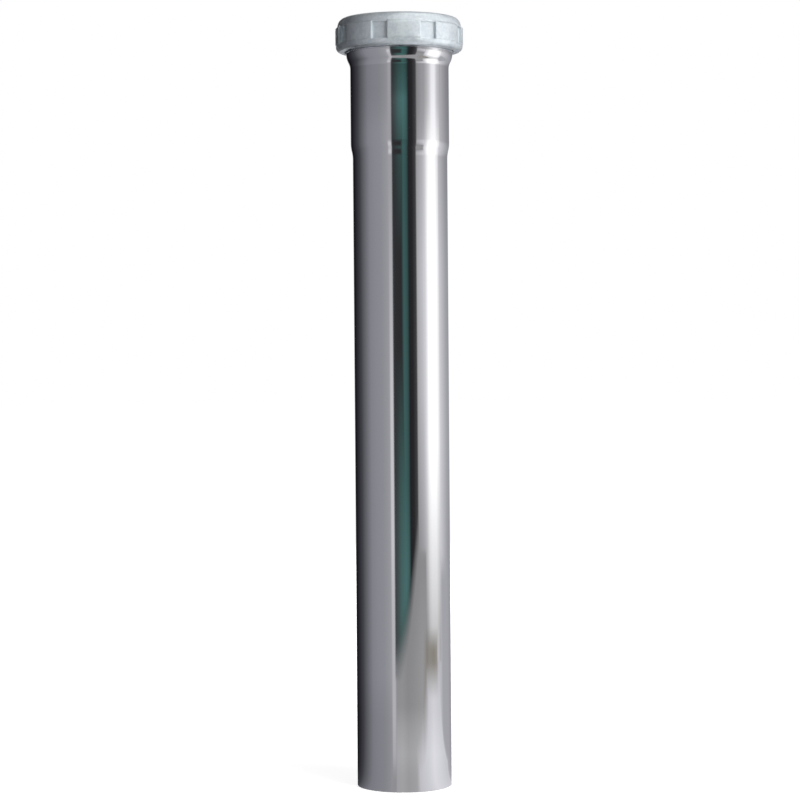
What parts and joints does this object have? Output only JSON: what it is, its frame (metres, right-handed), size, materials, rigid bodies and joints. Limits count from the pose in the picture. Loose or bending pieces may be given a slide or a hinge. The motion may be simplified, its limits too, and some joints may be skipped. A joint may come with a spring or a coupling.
{
  "type": "drain extension tube",
  "caption": "Thin chrome-plated slip-joint extension tube for a basin or sink waste, with a belled, threaded head, a screw-down slip nut and a bevelled washer.",
  "frame": {"origin": "centre of the plain end's face, on which the tube stands", "axes": "+Z along the axis of the tube, from the plain end up to the slip nut; -Y is the front that the picture shows"},
  "size_m": [0.0514, 0.0514, 0.3091],
  "materials": {
    "chrome_plate": "mirror bright plating on drawn brass",
    "cast_zinc": "satin plated die casting",
    "black_rubber": "moulded matt rubber"
  },
  "bodies": {
    "tube": {"extension_tube": "chrome_plate"},
    "washer": {"slip_washer": "black_rubber"},
    "nut": {"slip_nut": "cast_zinc"}
  },
  "joints": [
    {"name": "nut_lift", "type": "slide", "parent": "tube", "child": "washer", "axis": [0, 0, 1], "range_m": [0, 0.00865]},
    {"name": "nut_turn", "type": "hinge", "parent": "washer", "child": "nut", "pos_m": [0, 0, 0.30245], "axis": [0, 0, 1], "range_deg": [0, 1400]}
  ],
  "couplings": [
    {"joint": "nut_lift", "follows": "nut_turn", "m_per_rad": 0.00035153}
  ]
}
